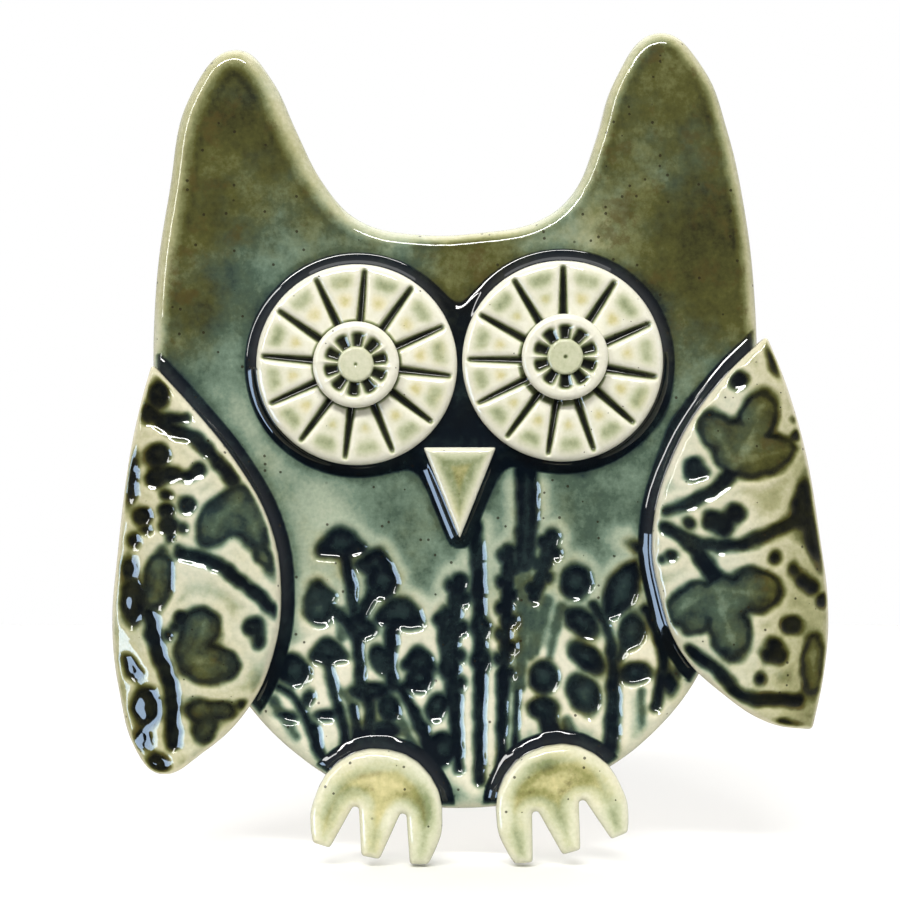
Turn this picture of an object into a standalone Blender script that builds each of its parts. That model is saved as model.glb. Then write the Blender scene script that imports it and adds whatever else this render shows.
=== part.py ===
"""Slab-built ceramic owl wall plaque: a flat body with two ears, and wings, eyes, beak and feet
applied to its front. Its back lies flat on a wall, and it hangs on a nail from a wire in a pocket.

Frame: +X to the viewer's right, +Z up, the front faces -Y, and the back lies in the plane Y = 0.
The origin is behind the middle of the hanging wire. Metres throughout.
"""

from math import cos, pi, radians, sin, sqrt

import bmesh
import bpy
from mathutils import Matrix, Vector

MM = 0.001

# Driving dimensions
OVERALL_WIDTH = 144.9 * MM      # wing edge to wing edge
OVERALL_HEIGHT = 167.9 * MM     # toe tips to ear tips
BODY_THICKNESS = 8.0 * MM
BODY_EDGE_RADIUS = 3.0 * MM     # rounding of the body's front edge
PIECE_EDGE_RADIUS = 1.4 * MM    # rounding of each applied piece's front edge
SLIP_GAP = 0.3 * MM             # layer of slip and glaze between an applied piece and its seat

WING_THICKNESS = 4.8 * MM
WING_DROOP = 4.2 * MM           # how far the free edge of a wing sags back
WING_DROOP_REACH = 20.0 * MM    # distance over which it does so

EYE_DIAMETER = 40.3 * MM
EYE_THICKNESS = 3.6 * MM
EYE_SPACE = 1.0 * MM            # between the rims of the two eyes
EYE_LEVEL = -6.8 * MM
EYE_LEAN = radians(1.0)         # the line through both eyes rises to the right
RAY_COUNT = 12
RAY_WIDTH = 1.1 * MM
RAY_DEPTH = 0.8 * MM
RAY_RIM = 1.4 * MM              # left uncut between a ray's end and the eye's rim
LEFT_RAY_TURN = radians(5)
RIGHT_RAY_TURN = radians(2)

PUPIL_DIAMETER = 17.2 * MM
PUPIL_THICKNESS = 2.8 * MM
DENT_COUNT = 10
DENT_RING_RADIUS = 5.0 * MM
DENT_LENGTH = 2.4 * MM
DENT_WIDTH = 1.5 * MM
DENT_DEPTH = 0.9 * MM

BEAK_WIDTH = 14.6 * MM
BEAK_LENGTH = 18.3 * MM
BEAK_THICKNESS = 3.6 * MM
BEAK_SPACE = 1.4 * MM           # between the beak's top corners and the eyes

FOOT_WIDTH = 26.4 * MM
FOOT_THICKNESS = 4.6 * MM
FOOT_DROOP = 1.6 * MM           # how far the toe tips sag back
FOOT_DROOP_REACH = 10.0 * MM
LEFT_FOOT_TURN = radians(-9)
RIGHT_FOOT_TURN = radians(14)

POCKET_DIAMETER = 24.0 * MM
POCKET_FLOOR = 3.2 * MM         # clay left in front of the hanging pocket
POCKET_LEVEL = -4.0 * MM        # the pocket's centre, below the wire
CUTTER_STANDS_OUT = 2.0 * MM
WIRE_DIAMETER = 1.6 * MM
WIRE_BITE = 5.0 * MM            # length of wire held in the clay at each end
WIRE_DEPTH = 2.4 * MM           # the wire's axis, in from the back face
WIRE_CLEARANCE = 0.3 * MM

# The outlines are drawn in millimetres at this width and height, and stretched to the overall size.
# A point is (x, z), and a point marked CORNER is a sharp tip.
DRAWN_WIDTH = 144.9
DRAWN_HEIGHT = 167.9
CORNER = "corner"

BODY_OUTLINE = [
    (-45.2, 57.2), (-38.2, 51.0), (-33.4, 41.0), (-27.4, 29.4), (-20.4, 22.2), (-8.0, 19.4),
    (5.0, 19.9), (15.6, 22.0), (22.6, 27.2), (27.8, 39.0), (31.4, 50.6), (40.4, 60.6),
    (49.2, 53.6), (54.2, 41.0), (57.6, 26.0), (59.8, 8.0), (60.2, -14.0), (58.2, -35.0),
    (52.6, -61.0), (39.8, -81.2), (20.0, -93.4), (1.8, -96.9), (-16.0, -94.6), (-30.6, -87.9),
    (-48.2, -68.2), (-57.2, -46.0), (-61.4, -20.0), (-61.8, 6.0), (-58.9, 28.0), (-54.2, 48.6),
]
LEFT_WING_OUTLINE = [
    (-61.6, -7.0, CORNER), (-53.2, -16.2), (-44.2, -27.6), (-38.0, -39.2), (-35.8, -52.4),
    (-37.4, -65.4), (-42.6, -76.4), (-51.6, -85.0), (-60.6, -89.6), (-65.4, -85.0),
    (-68.8, -73.4), (-70.2, -60.0), (-68.8, -45.0), (-66.4, -27.0), (-64.0, -15.6),
]
RIGHT_WING_OUTLINE = [
    (61.4, -1.4, CORNER), (65.4, -11.2), (69.7, -25.6), (72.4, -40.4), (74.7, -57.6),
    (73.8, -70.0), (71.5, -80.9, CORNER), (62.4, -79.2), (52.3, -72.8), (44.4, -64.8),
    (40.0, -53.0), (38.6, -41.0), (43.1, -24.6), (51.6, -11.2),
]
LEFT_SIDE_OF_BODY = (-62.0, -7.0), (-45.4, -79.0)    # a wing starts to sag along such a line
RIGHT_SIDE_OF_BODY = (49.8, -72.0), (61.4, 0.0)
FOOT_CENTRES = (-16.5, -97.4), (20.3, -96.5)
PUPIL_OFFSETS = (0.0, -0.1), (0.3, 0.7)              # from each eye's centre

# One foot, toes down, drawn at this width about the centre of its round top.
DRAWN_FOOT_WIDTH = 26.4
FOOT_OUTLINE = [
    (13.2, 0.0), (12.6, -5.0), (11.6, -8.4, CORNER), (8.0, -8.9, CORNER), (5.7, 1.2, CORNER),
    (4.5, 1.2, CORNER), (1.8, -8.8, CORNER), (-1.9, -8.6, CORNER), (-3.9, 1.1, CORNER),
    (-5.1, 1.1, CORNER), (-8.4, -8.0, CORNER), (-11.9, -7.4, CORNER), (-12.9, -4.0),
    (-13.2, 0.0), (-9.33, 9.33), (0.0, 13.2), (9.33, 9.33),
]


# Helpers

def clear_scene():
    for old in list(bpy.data.objects):
        bpy.data.objects.remove(old)


def new_collection(name):
    collection = bpy.data.collections.new(name)
    bpy.context.scene.collection.children.link(collection)
    return collection


def finish_of(name, colour, roughness, metallic=0.0):
    material = bpy.data.materials.new(name)
    material.use_nodes = True
    surface = material.node_tree.nodes["Principled BSDF"]
    surface.inputs["Base Color"].default_value = (*colour, 1.0)
    surface.inputs["Roughness"].default_value = roughness
    surface.inputs["Metallic"].default_value = metallic
    return material


def place(x, z):
    """A drawn point, in millimetres, as x and z in metres at the overall size."""
    return x * OVERALL_WIDTH / DRAWN_WIDTH, z * OVERALL_HEIGHT / DRAWN_HEIGHT


def stretched(outline):
    return [(*place(*point[:2]), *point[2:]) for point in outline]


def add(name, mesh, collection, material=None):
    thing = bpy.data.objects.new(name, mesh)
    collection.objects.link(thing)
    if material:
        mesh.materials.clear()
        mesh.materials.append(material)
    return thing


def frozen_mesh(thing):
    """The object's evaluated shape in world space, as a mesh with its caps welded. The object is removed."""
    bpy.context.view_layer.update()
    evaluated = thing.evaluated_get(bpy.context.evaluated_depsgraph_get())
    mesh = bpy.data.meshes.new_from_object(evaluated)
    mesh.transform(thing.matrix_world)
    bpy.data.objects.remove(thing)
    shape = bmesh.new()
    shape.from_mesh(mesh)
    bmesh.ops.remove_doubles(shape, verts=shape.verts, dist=0.001 * MM)
    bmesh.ops.recalc_face_normals(shape, faces=shape.faces)
    shape.to_mesh(mesh)
    shape.free()
    return mesh


def flat_slab(outline, back, thickness, steps):
    """A mesh of that outline, from `back` towards the front, which is at -Y."""
    curve = bpy.data.curves.new("outline", "CURVE")
    curve.dimensions = "2D"
    curve.fill_mode = "BOTH"
    curve.extrude = thickness / 2
    curve.resolution_u = steps
    spline = curve.splines.new("BEZIER")
    spline.bezier_points.add(len(outline) - 1)
    for knot, (x, z, *kind) in zip(spline.bezier_points, outline):
        knot.co = (x, z, 0)
        knot.handle_left_type = knot.handle_right_type = "VECTOR" if kind else "AUTO"
    spline.use_cyclic_u = True
    drawing = bpy.data.objects.new("outline", curve)
    bpy.context.scene.collection.objects.link(drawing)
    drawing.rotation_euler.x = pi / 2
    drawing.location.y = back - thickness / 2
    return frozen_mesh(drawing)


def round_front_edge(thing, front, radius, segments):
    """A Bevel on the edges that lie in the front face's plane and bound it."""
    mesh = thing.data
    shape = bmesh.new()
    shape.from_mesh(mesh)
    weight = shape.edges.layers.float.new("bevel_weight_edge")
    for edge in shape.edges:
        in_front = all(abs(vert.co.y - front) < 0.01 * MM for vert in edge.verts)
        if in_front and len(edge.link_faces) == 2 and edge.calc_face_angle() > radians(45):
            edge[weight] = 1.0
    shape.to_mesh(mesh)
    shape.free()
    bevel = thing.modifiers.new("front_edge", "BEVEL")
    bevel.limit_method = "WEIGHT"
    bevel.width = radius
    bevel.segments = segments


def cut(thing, cutter):
    boolean = thing.modifiers.new(cutter.name, "BOOLEAN")
    boolean.operation = "DIFFERENCE"
    boolean.object = cutter
    cutter.hide_render = True
    cutter.display_type = "WIRE"


def cylinder_mesh(name, diameter, length, segments, matrix):
    """A closed cylinder, its axis along the matrix's Z."""
    shape = bmesh.new()
    bmesh.ops.create_cone(
        shape, cap_ends=True, segments=segments, radius1=diameter / 2, radius2=diameter / 2,
        depth=length, matrix=matrix,
    )
    mesh = bpy.data.meshes.new(name)
    shape.to_mesh(mesh)
    shape.free()
    return mesh


FACING_FRONT = Matrix.Rotation(pi / 2, 4, "X")


def disc(name, x, z, back, diameter, thickness, segments, edge_segments, material):
    """A round slab with its front edge rounded."""
    centre = Matrix.Translation((x, back - thickness / 2, z))
    mesh = cylinder_mesh(name, diameter, thickness, segments, centre @ FACING_FRONT)
    thing = add(name, mesh, OWL, material)
    round_front_edge(thing, back - thickness, PIECE_EDGE_RADIUS, edge_segments)
    return thing


def droop_line(start, end):
    """A point on the line and its outward direction in the X-Z plane, on the right of start to end."""
    start, end = Vector(place(*start)), Vector(place(*end))
    along = (end - start).normalized()
    return start, Vector((along.y, -along.x))


def sagged(mesh, line, reach, droop, strips=6):
    """The mesh bent back towards the wall beyond a line, further the further from it."""
    start, outward = line
    shape = bmesh.new()
    shape.from_mesh(mesh)
    for i in range(strips):
        cut_at = start + outward * reach * i / strips
        bmesh.ops.bisect_plane(
            shape, geom=shape.verts[:] + shape.edges[:] + shape.faces[:], dist=0.001 * MM,
            plane_co=(cut_at.x, 0, cut_at.y), plane_no=(outward.x, 0, outward.y),
        )
    bmesh.ops.triangulate(shape, faces=shape.faces)
    for vert in shape.verts:
        beyond = (Vector((vert.co.x, vert.co.z)) - start).dot(outward) / reach
        vert.co.y += droop * max(0.0, beyond) ** 2
    shape.to_mesh(mesh)
    shape.free()
    return mesh


def drooping_piece(name, outline, thickness, steps, line, reach, droop, material):
    """An applied slab that starts on the body's front and sags back where it overhangs."""
    back = -BODY_THICKNESS - SLIP_GAP
    flat = add(name + "_flat", flat_slab(outline, back, thickness, steps), OWL)
    round_front_edge(flat, back - thickness, PIECE_EDGE_RADIUS, 2)
    return add(name, sagged(frozen_mesh(flat), line, reach, droop), OWL, material)


clear_scene()
OWL = new_collection("owl_plaque")
CUTTERS = new_collection("cutters")
body_glaze = finish_of("body_glaze", (0.09, 0.13, 0.08), 0.12)
wing_glaze = finish_of("wing_glaze", (0.16, 0.18, 0.11), 0.12)
eye_glaze = finish_of("eye_glaze", (0.62, 0.62, 0.44), 0.12)
beak_glaze = finish_of("beak_glaze", (0.33, 0.38, 0.24), 0.12)
foot_glaze = finish_of("foot_glaze", (0.40, 0.40, 0.24), 0.12)
wire_metal = finish_of("wire_metal", (0.32, 0.30, 0.28), 0.45, 1.0)


# Body slab: one sheet of clay cut round a template, front edge softened, with a pocket in its back

body = add("body_slab", flat_slab(stretched(BODY_OUTLINE), 0.0, BODY_THICKNESS, 5), OWL, body_glaze)
round_front_edge(body, -BODY_THICKNESS, BODY_EDGE_RADIUS, 4)

pocket_depth = BODY_THICKNESS - POCKET_FLOOR
pocket_middle = Matrix.Translation((0, (CUTTER_STANDS_OUT - pocket_depth) / 2, POCKET_LEVEL))
pocket = cylinder_mesh(
    "pocket", POCKET_DIAMETER, pocket_depth + CUTTER_STANDS_OUT, 40, pocket_middle @ FACING_FRONT
)
cut(body, add("pocket_cutter", pocket, CUTTERS))

pocket_half_chord = sqrt((POCKET_DIAMETER / 2) ** 2 - POCKET_LEVEL ** 2)
wire_length = 2 * (pocket_half_chord + WIRE_BITE)
wire_axis = Matrix.Translation((0, -WIRE_DEPTH, 0)) @ Matrix.Rotation(pi / 2, 4, "Y")
wire_hole = cylinder_mesh(
    "wire_hole", WIRE_DIAMETER + 2 * WIRE_CLEARANCE, wire_length + 2 * WIRE_CLEARANCE, 16, wire_axis
)
cut(body, add("wire_hole_cutter", wire_hole, CUTTERS))


# Hanging wire: a short length of heat-proof wire across the pocket, its ends held in the clay

wire = cylinder_mesh("hanging_wire", WIRE_DIAMETER, wire_length, 16, wire_axis)
add("hanging_wire", wire, OWL, wire_metal)


# Wings: two leaf-shaped slabs on the front, sagging back where they pass the body's sides

drooping_piece(
    "left_wing", stretched(LEFT_WING_OUTLINE), WING_THICKNESS, 4,
    droop_line(*LEFT_SIDE_OF_BODY), WING_DROOP_REACH, WING_DROOP, wing_glaze,
)
drooping_piece(
    "right_wing", stretched(RIGHT_WING_OUTLINE), WING_THICKNESS, 4,
    droop_line(*RIGHT_SIDE_OF_BODY), WING_DROOP_REACH, WING_DROOP, wing_glaze,
)


# Eyes: two discs with rays pressed into them, each with a stamped button on top

def ray_cutter(name, x, z, turn):
    """A fan of bars on edge, which press V-shaped rays from the button out towards the rim."""
    front = -BODY_THICKNESS - SLIP_GAP - EYE_THICKNESS
    inner = PUPIL_DIAMETER / 2 - 1 * MM
    outer = EYE_DIAMETER / 2 - RAY_RIM
    shape = bmesh.new()
    for i in range(RAY_COUNT):
        bar = (
            Matrix.Translation((x, front, z))
            @ Matrix.Rotation(turn + 2 * pi * i / RAY_COUNT, 4, "Y")
            @ Matrix.Translation((0, 0, (inner + outer) / 2))
            @ Matrix.Diagonal((RAY_WIDTH / sqrt(2), RAY_DEPTH * sqrt(2), outer - inner, 1))
            @ Matrix.Rotation(pi / 4, 4, "Z")
        )
        bmesh.ops.create_cube(shape, size=1.0, matrix=bar)
    mesh = bpy.data.meshes.new(name)
    shape.to_mesh(mesh)
    shape.free()
    return add(name, mesh, CUTTERS)


def dent_cutter(name, x, z):
    """A ring of small blocks, the marks of a round stamp."""
    front = -BODY_THICKNESS - 2 * SLIP_GAP - EYE_THICKNESS - PUPIL_THICKNESS
    shape = bmesh.new()
    for i in range(DENT_COUNT):
        block = (
            Matrix.Translation((x, front, z))
            @ Matrix.Rotation(2 * pi * i / DENT_COUNT, 4, "Y")
            @ Matrix.Translation((0, 0, DENT_RING_RADIUS))
            @ Matrix.Diagonal((DENT_WIDTH, 2 * DENT_DEPTH, DENT_LENGTH, 1))
        )
        bmesh.ops.create_cube(shape, size=1.0, matrix=block)
    mesh = bpy.data.meshes.new(name)
    shape.to_mesh(mesh)
    shape.free()
    return add(name, mesh, CUTTERS)


eye_half_span = (EYE_DIAMETER + EYE_SPACE) / 2
eye_centres = [
    (side * eye_half_span * cos(EYE_LEAN), EYE_LEVEL + side * eye_half_span * sin(EYE_LEAN))
    for side in (-1, 1)
]
eye_back = -BODY_THICKNESS - SLIP_GAP
pupil_back = eye_back - EYE_THICKNESS - SLIP_GAP
for side, (x, z), turn, (dx, dz) in zip(
    ("left", "right"), eye_centres, (LEFT_RAY_TURN, RIGHT_RAY_TURN), PUPIL_OFFSETS
):
    eye = disc(f"{side}_eye_disc", x, z, eye_back, EYE_DIAMETER, EYE_THICKNESS, 64, 3, eye_glaze)
    cut(eye, ray_cutter(f"{side}_ray_cutter", x, z, turn))
    x, z = x + dx * MM, z + dz * MM
    pupil = disc(
        f"{side}_pupil_button", x, z, pupil_back, PUPIL_DIAMETER, PUPIL_THICKNESS, 40, 3, eye_glaze
    )
    cut(pupil, dent_cutter(f"{side}_dent_cutter", x, z))


# Beak: a small triangle, point down, whose top corners clear both eyes

corner_side = eye_half_span - BEAK_WIDTH / 2
corner_reach = EYE_DIAMETER / 2 + BEAK_SPACE
beak_top = EYE_LEVEL - sqrt(corner_reach ** 2 - corner_side ** 2)
beak_middle = sum(x for x, _ in eye_centres) / 2
beak_outline = [
    (beak_middle - BEAK_WIDTH / 2, beak_top, CORNER),
    (beak_middle + BEAK_WIDTH / 2, beak_top, CORNER),
    (beak_middle, beak_top - BEAK_LENGTH, CORNER),
]
beak = add("beak", flat_slab(beak_outline, eye_back, BEAK_THICKNESS, 1), OWL, beak_glaze)
round_front_edge(beak, eye_back - BEAK_THICKNESS, PIECE_EDGE_RADIUS, 3)


# Feet: two round-topped slabs notched into three toes, the right one the left one's mirror image

def foot_outline(centre, turn, mirror):
    x0, z0 = place(*centre)
    size = FOOT_WIDTH / DRAWN_FOOT_WIDTH
    outline = []
    for x, z, *kind in FOOT_OUTLINE:
        x, z = mirror * x * size, z * size
        outline.append((x0 + x * cos(turn) - z * sin(turn), z0 + x * sin(turn) + z * cos(turn), *kind))
    return outline


for side, centre, turn, mirror in (
    ("left", FOOT_CENTRES[0], LEFT_FOOT_TURN, 1), ("right", FOOT_CENTRES[1], RIGHT_FOOT_TURN, -1)
):
    drooping_piece(
        f"{side}_foot", foot_outline(centre, turn, mirror), FOOT_THICKNESS, 3,
        droop_line(*FOOT_CENTRES), FOOT_DROOP_REACH, FOOT_DROOP, foot_glaze,
    )


for thing in OWL.objects:
    thing.data.shade_smooth()
    thing.data.set_sharp_from_angle(angle=radians(35))
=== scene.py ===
"""A slab-built, glazed ceramic owl plaque, made round its CAD frame.

Each clay piece takes its outline, thickness and bend from its CAD solid, and gets the surface that
the kiln gives it: soft edges, impressed plants, and glaze that runs thin on every edge and pools
nearly black in every hollow. The clay is worked in millimetres, and its meshes are in metres.
"""

from functools import partial, reduce
from math import cos, pi, radians, sin, sqrt, tau

import bmesh
import bpy
import numpy as np
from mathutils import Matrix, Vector
from mathutils.bvhtree import BVHTree
from mathutils.geometry import delaunay_2d_cdt
from mathutils.kdtree import KDTree


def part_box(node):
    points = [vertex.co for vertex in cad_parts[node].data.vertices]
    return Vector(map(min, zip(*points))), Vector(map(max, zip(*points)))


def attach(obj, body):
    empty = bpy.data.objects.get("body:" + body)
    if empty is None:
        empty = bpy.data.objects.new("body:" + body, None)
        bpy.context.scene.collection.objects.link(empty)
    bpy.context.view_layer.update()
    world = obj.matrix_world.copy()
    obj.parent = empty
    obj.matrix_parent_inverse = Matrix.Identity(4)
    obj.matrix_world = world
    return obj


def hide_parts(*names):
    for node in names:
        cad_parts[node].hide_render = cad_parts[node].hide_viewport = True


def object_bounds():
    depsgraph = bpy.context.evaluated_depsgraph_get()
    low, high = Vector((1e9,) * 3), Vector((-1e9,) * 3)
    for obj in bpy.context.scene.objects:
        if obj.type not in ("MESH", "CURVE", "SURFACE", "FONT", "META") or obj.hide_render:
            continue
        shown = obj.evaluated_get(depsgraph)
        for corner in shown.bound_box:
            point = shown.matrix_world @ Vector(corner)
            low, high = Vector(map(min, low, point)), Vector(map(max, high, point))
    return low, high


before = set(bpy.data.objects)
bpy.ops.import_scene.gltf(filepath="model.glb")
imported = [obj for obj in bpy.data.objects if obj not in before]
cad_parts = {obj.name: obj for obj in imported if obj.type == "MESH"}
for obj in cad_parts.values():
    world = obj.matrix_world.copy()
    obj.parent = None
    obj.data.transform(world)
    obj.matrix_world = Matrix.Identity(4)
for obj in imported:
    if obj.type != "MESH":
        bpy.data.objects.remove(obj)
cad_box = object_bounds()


# Studio: a long strip light above, a cool window and a tall doorway on the left, a pale room behind.
# The floor passes just under the toes.

scene = bpy.context.scene
scene.view_settings.view_transform = "Standard"
low, high = (Vector(corner) for corner in cad_box)
middle = (low + high) / 2


def in_scene(name, data):
    """A new object in the scene, which holds that data."""
    thing = bpy.data.objects.new(name, data)
    scene.collection.objects.link(thing)
    return thing


def add_node(tree, kind, inputs=None, **settings):
    """A new node with those settings, and each of its inputs given a value or linked to a socket."""
    made = tree.nodes.new(kind)
    for key, value in settings.items():
        setattr(made, key, value)
    for key, value in (inputs or {}).items():
        if isinstance(value, bpy.types.NodeSocket):
            tree.links.new(value, made.inputs[key])
        else:
            made.inputs[key].default_value = value
    return made


def node_tools(tree):
    """Short names for work in one tree: any node, any sum, and a turn from one value to another."""
    node = partial(add_node, tree)

    def maths(operation, *inputs):
        return node("ShaderNodeMath", dict(enumerate(inputs)), operation=operation).outputs[0]

    def plus(*terms):
        return reduce(partial(maths, "ADD"), terms)

    def minus(first, second):
        return maths("SUBTRACT", first, second)

    def times(*terms):
        return reduce(partial(maths, "MULTIPLY"), terms)

    def turned(value, start, end, before=0.0, after=1.0, shape="SMOOTHSTEP"):
        inputs = {"Value": value, "From Min": start, "From Max": end, "To Min": before, "To Max": after}
        return node("ShaderNodeMapRange", inputs, interpolation_type=shape).outputs[0]

    return node, maths, plus, minus, times, turned


camera = in_scene("camera", bpy.data.cameras.new("camera"))
camera.data.lens = 85
camera.data.sensor_width = 36
camera.location = (middle.x - 0.0042, low.y - 0.4215, middle.z - 0.0008)
camera.rotation_euler = (pi / 2, 0, 0)
scene.camera = camera


def softbox(name, place, width, height, power, colour):
    """An area light that faces the plaque."""
    light = bpy.data.lights.new(name, "AREA")
    light.shape = "RECTANGLE"
    light.size = width
    light.size_y = height
    light.energy = power
    light.color = colour
    lamp = in_scene(name, light)
    lamp.location = place
    lamp.rotation_euler = (middle - lamp.location).to_track_quat("-Z", "Y").to_euler()
    return lamp


softbox("strip_light", (-0.18, -0.75, 0.62), 0.80, 0.10, 10.5, (1.0, 0.985, 0.96))
softbox("top_fill", (0.0, 0.40, 0.95), 1.3, 1.1, 7.0, (1.0, 1.0, 1.0))
# the bounce from a pale wall lights the front evenly, and a far window shows only in the gloss
bounce = softbox("wall_bounce", (0.35, -1.0, 0.25), 1.0, 1.0, 5.0, (1.0, 0.995, 0.98))
bounce.visible_glossy = False
window = softbox("cool_window", (-0.95, -0.395, -0.29), 0.36, 0.56, 7.2, (0.55, 0.74, 1.0))
window.visible_diffuse = False
doorway = softbox("tall_doorway", (-0.78, -0.66, 0.40), 0.13, 0.62, 4.0, (1.0, 0.99, 0.97))
doorway.visible_diffuse = False

world = bpy.data.worlds.new("room")
scene.world = world
world.use_nodes = True
room = world.node_tree
room_node, _, _, _, times, turned = node_tools(room)
facing = room_node("ShaderNodeTexCoord").outputs["Generated"]
split = room_node("ShaderNodeSeparateXYZ", {0: facing}).outputs
depth = turned(split["Y"], -0.8, 0.5, 0.10, 0.85, "LINEAR")
below = turned(split["Z"], -0.35, 0.15, 0.10, 1.0, "LINEAR")
rays = room_node("ShaderNodeLightPath").outputs
seen = room_node("ShaderNodeMix", {0: rays["Is Camera Ray"], 2: times(depth, below), 3: 1.0})
air = room.nodes["Background"]
air.inputs["Color"].default_value = (1, 1, 1, 1)
room.links.new(seen.outputs[0], air.inputs["Strength"])

sheet = bmesh.new()
bmesh.ops.create_grid(sheet, x_segments=1, y_segments=1, size=0.32)
bmesh.ops.translate(sheet, verts=sheet.verts, vec=(0, 0.26, low.z - 0.0005))
floor = in_scene("floor", bpy.data.meshes.new("floor"))
sheet.to_mesh(floor.data)
sheet.free()
paper = bpy.data.materials.new("paper")
paper.use_nodes = True
matt = paper.node_tree.nodes["Principled BSDF"].inputs
matt["Base Color"].default_value = (0.88, 0.875, 0.86, 1)
matt["Roughness"].default_value = 0.9
floor.data.materials.append(paper)
floor.visible_glossy = False


# Body slab: one sheet of rolled clay with both ears, cut round a template and softened along its front
# edge. Plants are pressed into its lower half, and a pocket for the hanging wire into its back, which
# is left bare. Glaze fills the corner round each applied piece.

MM = 0.001


def cad_shape(node):
    """The CAD solid with its loose triangles merged."""
    shape = bmesh.new()
    shape.from_mesh(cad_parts[node].data)
    bmesh.ops.remove_doubles(shape, verts=shape.verts, dist=0.01 * MM)
    return shape


def rim_of(node, step, softness):
    """The outer edge of a solid's back, as even steps round (x, z), with its corners softened.

    Also the depth y of each point that the solid itself has there.
    """
    shape = cad_shape(node)
    following = {}
    for edge in shape.edges:
        sides = sorted(edge.link_faces, key=lambda face: face.normal.y)
        if len(sides) == 2 and sides[1].normal.y > 0.7 and abs(sides[0].normal.y) < 0.5:
            for vert in edge.verts:
                following.setdefault(vert, []).append(edge.other_vert(vert))
    loops = []
    unused = set(following)
    while unused:
        start = min((vert for vert in following if vert in unused), key=lambda vert: len(following[vert]))
        loop = [start]
        unused.discard(start)
        while True:
            ahead = [vert for vert in following[loop[-1]] if vert in unused]
            if not ahead:
                break
            loop.append(ahead[0])
            unused.discard(ahead[0])
        loops.append(np.array([vert.co / MM for vert in loop]))
    shape.free()
    loop = max(loops, key=lambda points: np.ptp(points[:, 0]) * np.ptp(points[:, 2]))
    flat = loop[:, [0, 2]]
    after = np.roll(flat, -1, axis=0)
    if np.sum(flat[:, 0] * after[:, 1] - after[:, 0] * flat[:, 1]) < 0:
        flat = flat[::-1]
    closed = np.vstack([flat, flat[:1]])
    along = np.concatenate([[0], np.cumsum(np.linalg.norm(np.diff(closed, axis=0), axis=1))])
    count = int(along[-1] / step)
    even = np.linspace(0, along[-1], count, endpoint=False)
    rim = np.stack([np.interp(even, along, closed[:, i]) for i in (0, 1)], axis=1)
    for _ in range(round(2 * (softness / step) ** 2)):
        rim = rim / 2 + (np.roll(rim, 1, axis=0) + np.roll(rim, -1, axis=0)) / 4
    return rim, loop


def inward(rim):
    """The way into the piece at each point of its rim."""
    ahead = np.roll(rim, -1, axis=0) - np.roll(rim, 1, axis=0)
    ahead /= np.linalg.norm(ahead, axis=1)[:, None]
    return np.stack([-ahead[:, 1], ahead[:, 0]], axis=1)


def inset_of(places, rim):
    """Distance of each place to the rim, positive inside it."""
    tree = KDTree(len(rim))
    for i, (x, z) in enumerate(rim.tolist()):
        tree.insert((x, z, 0), i)
    tree.balance()
    nearest = np.array([tree.find((x, z, 0))[1] for x, z in places.tolist()], int)
    offset = places - rim[nearest]
    gap = np.full(len(places), 1e9)
    for side in (-1, 1):
        run = np.roll(rim, -side, axis=0)[nearest] - rim[nearest]
        share = np.clip((offset * run).sum(1) / (run ** 2).sum(1), 0, 1)
        gap = np.minimum(gap, np.linalg.norm(offset - share[:, None] * run, axis=1))
    return np.where((offset * inward(rim)[nearest]).sum(1) > 0, gap, -gap)


def ease(value, start, end):
    """0 before start and 1 after end, with a smooth turn between them."""
    share = np.clip((value - start) / (end - start), 0, 1)
    return share * share * (3 - 2 * share)


def hump(value, middle, width):
    """1 where the value is at the middle, and fading to 0 on both sides over about that width."""
    return np.exp(-((value - middle) / width) ** 2)


def unevenness(places, size, seed):
    """Smooth, hand-made irregularity between about -1 and 1, in lumps of about that size."""
    random = np.random.default_rng(seed)
    total = np.zeros(len(places))
    for _ in range(9):
        heading = random.uniform(0, tau)
        pitch = tau / (size * random.uniform(1.2, 3.0))
        wave = places @ np.array([cos(heading), sin(heading)]) * pitch
        total += np.sin(wave + random.uniform(0, tau))
    return total / 4.5


def lattice(rim, step):
    """Points on a triangular lattice over the rim's box, and which of them a lattice twice as wide has."""
    columns, rows = np.ceil(np.ptp(rim, axis=0) / (step, step * sqrt(0.75))).astype(int) + 2
    i, j = np.meshgrid(np.arange(columns), np.arange(rows))
    start = rim.min(0) - step / 3
    points = np.stack([start[0] + (i + (j % 2) / 2) * step, start[1] + j * step * sqrt(0.75)], axis=2)
    return points.reshape(-1, 2), ((i % 2 == 0) & (j % 2 == 0)).reshape(-1)


def triangles_inside(points, rim_count):
    """Triangles of all points inside the closed line through the first rim_count of them."""
    line = [(i, (i + 1) % rim_count) for i in range(rim_count)]
    found = delaunay_2d_cdt([Vector(point) for point in points.tolist()], line, [], 1, 1e-6)
    places, faces, origins = np.array(found[0]), np.array(found[2]), found[3]
    made_from = {source: made for made, sources in enumerate(origins) for source in sources}
    return places, faces, np.array([made_from[i] for i in range(rim_count)])


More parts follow.
